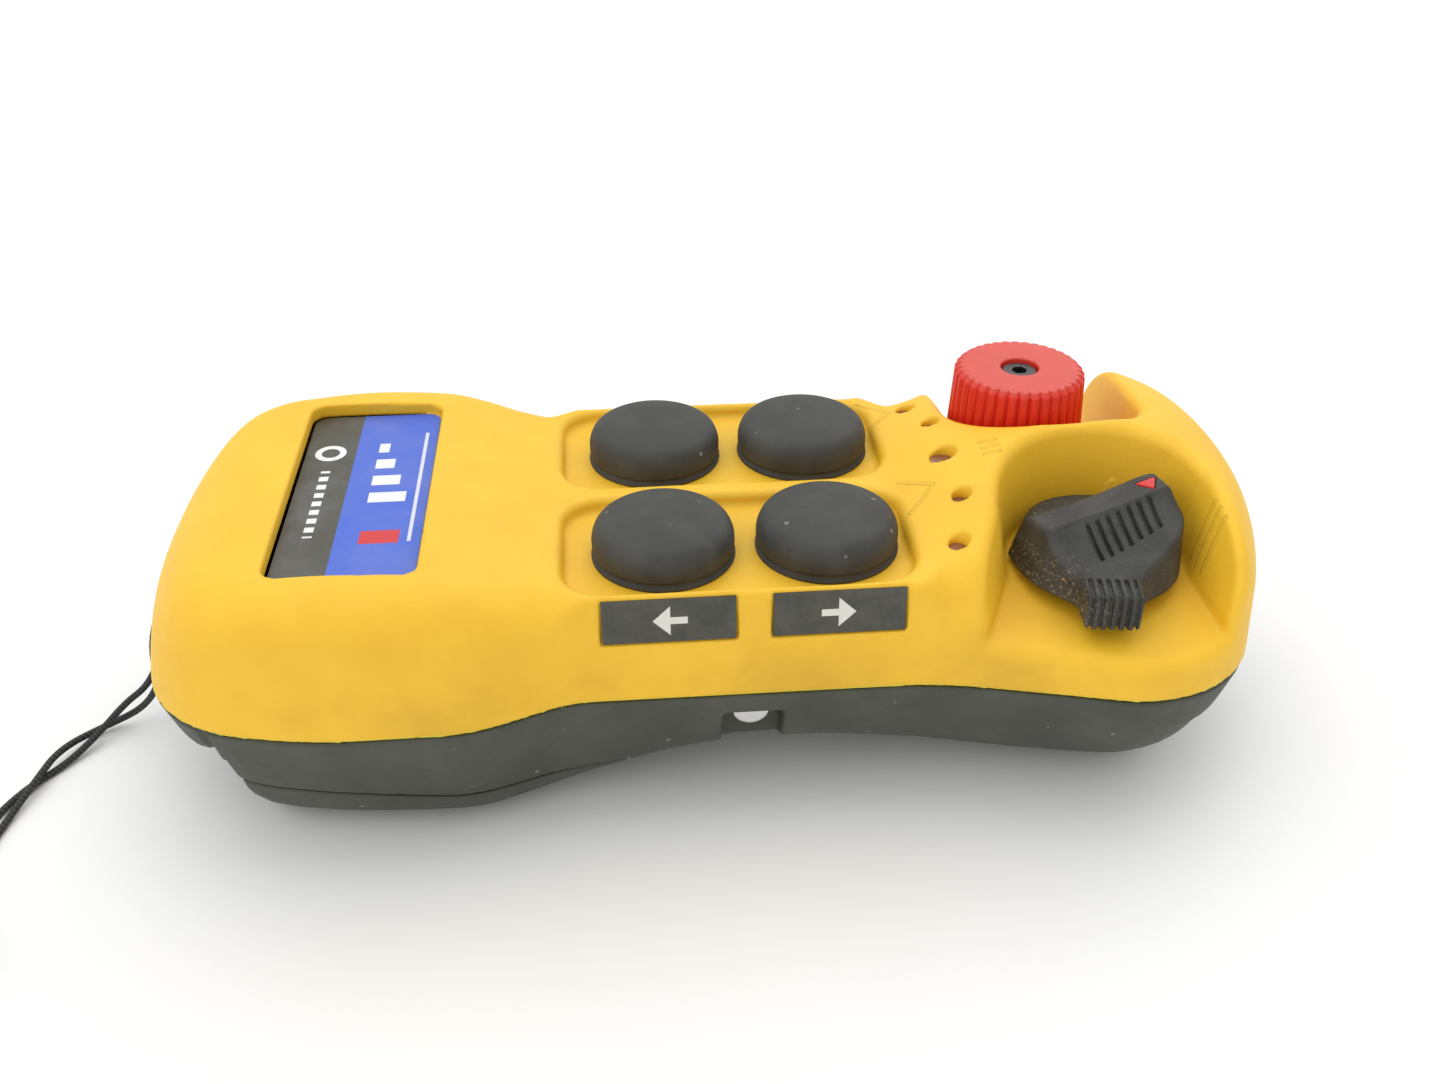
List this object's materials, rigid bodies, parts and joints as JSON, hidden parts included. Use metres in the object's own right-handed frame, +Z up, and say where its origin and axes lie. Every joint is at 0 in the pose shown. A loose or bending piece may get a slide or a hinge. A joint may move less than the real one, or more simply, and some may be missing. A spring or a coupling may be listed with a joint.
{
  "type": "handheld radio control station",
  "caption": "Hand-held wireless pendant control with rubber push buttons, a rotary selector, a twist-release emergency stop and a two-cell battery bay.",
  "frame": {"origin": "on the floor under the middle of the housing's box, the station lying on its back", "axes": "+X along the housing to the emergency-stop end, +Y across it to the emergency-stop side, +Z up out of the button face"},
  "size_m": [0.1968, 0.0922, 0.0512],
  "materials": {
    "front_shell": "fine-grained yellow moulded plastic",
    "rear_shell": "dark olive-grey moulded plastic",
    "button_rubber": "dusty matt black rubber",
    "seal_rubber": "yellow-green silicone rubber",
    "red_plastic": "red moulded plastic",
    "black_plastic": "black engineering plastic",
    "white_plastic": "natural acetal",
    "legend_plastic": "dark plate with a pale printed mark",
    "label_print": "printed polyester label",
    "smoked_lens": "brownish clear moulding",
    "lamp_clear": "clear light-emitting diodes",
    "board_green": "solder-masked circuit board",
    "cell_wrap": "plain shrink-wrapped cell",
    "steel": "bright plated steel",
    "black_steel": "blackened steel",
    "plated_brass": "brass",
    "black_cord": "thin braided polyester cord"
  },
  "bodies": {
    "root": {"front_housing": "front_shell", "rear_housing": "rear_shell", "housing_seal": "seal_rubber", "front_label": "label_print", "estop_bush": "black_plastic", "estop_nut": "plated_brass", "estop_contact_block": "black_plastic", "selector_bush": "black_plastic", "selector_nut": "plated_brass", "selector_switch": "black_plastic", "light_guide": "smoked_lens", "main_board": "board_green", "radio_module": "steel", "controller_chip": "black_plastic", "antenna": "plated_brass", "battery_contacts": "steel", "housing_screws": "steel", "threaded_inserts": "plated_brass", "lanyard_pin": "steel", "lanyard_crimp": "black_plastic", "status_leds": "lamp_clear", "lanyard_strand_1": "black_cord", "lanyard_strand_2": "black_cord", "battery_cell_near": "cell_wrap", "battery_spring_near": "steel", "strap_stud_near": "steel", "battery_cell_far": "cell_wrap", "battery_spring_far": "steel", "strap_stud_far": "steel", "button_skirt_near_left": "button_rubber", "push_switch_near_left": "black_plastic", "legend_plate_near_left": "legend_plastic", "button_skirt_near_right": "button_rubber", "push_switch_near_right": "black_plastic", "legend_plate_near_right": "legend_plastic", "button_skirt_far_left": "button_rubber", "push_switch_far_left": "black_plastic", "legend_plate_far_left": "legend_plastic", "button_skirt_far_right": "button_rubber", "push_switch_far_right": "black_plastic", "legend_plate_far_right": "legend_plastic"},
    "button_near_left": {"button_crown_near_left": "button_rubber", "button_plunger_near_left": "white_plastic"},
    "button_near_right": {"button_crown_near_right": "button_rubber", "button_plunger_near_right": "white_plastic"},
    "button_far_left": {"button_crown_far_left": "button_rubber", "button_plunger_far_left": "white_plastic"},
    "button_far_right": {"button_crown_far_right": "button_rubber", "button_plunger_far_right": "white_plastic"},
    "estop_stem": {"estop_plunger": "black_plastic"},
    "estop_head": {"estop_knob": "red_plastic", "estop_screw": "black_steel"},
    "selector": {"selector_knob": "button_rubber", "selector_pointer": "red_plastic", "selector_shaft": "steel"},
    "cover": {"battery_cover": "rear_shell"},
    "cover_fastener": {"battery_cover_screw": "black_steel"}
  },
  "joints": [
    {"name": "press_near_left", "type": "slide", "parent": "root", "child": "button_near_left", "axis": [0, 0, -1], "range_m": [0, 0.0022], "stiffness_N_per_m": 900},
    {"name": "press_near_right", "type": "slide", "parent": "root", "child": "button_near_right", "axis": [0, 0, -1], "range_m": [0, 0.0022], "stiffness_N_per_m": 900},
    {"name": "press_far_left", "type": "slide", "parent": "root", "child": "button_far_left", "axis": [0, 0, -1], "range_m": [0, 0.0022], "stiffness_N_per_m": 900},
    {"name": "press_far_right", "type": "slide", "parent": "root", "child": "button_far_right", "axis": [0, 0, -1], "range_m": [0, 0.0022], "stiffness_N_per_m": 900},
    {"name": "estop_push", "type": "slide", "parent": "root", "child": "estop_stem", "axis": [0, 0, -1], "range_m": [0, 0.004]},
    {"name": "estop_twist", "type": "hinge", "parent": "estop_stem", "child": "estop_head", "pos_m": [0.0517, 0.0146, 0.045], "axis": [0, 0, -1], "range_deg": [0, 45], "stiffness_Nm_per_rad": 0.05},
    {"name": "selector_turn", "type": "hinge", "parent": "root", "child": "selector", "pos_m": [0.0573, -0.0146, 0.035], "axis": [0, 0, 1], "range_deg": [-35, 40]},
    {"name": "cover_lift_off", "type": "slide", "parent": "root", "child": "cover", "axis": [0, 0, -1], "range_m": [0, 0.014]},
    {"name": "cover_screw_turn", "type": "hinge", "parent": "cover", "child": "cover_fastener", "pos_m": [-0.0754, 0, 0.012], "axis": [0, 0, 1], "range_deg": [0, 90]}
  ]
}
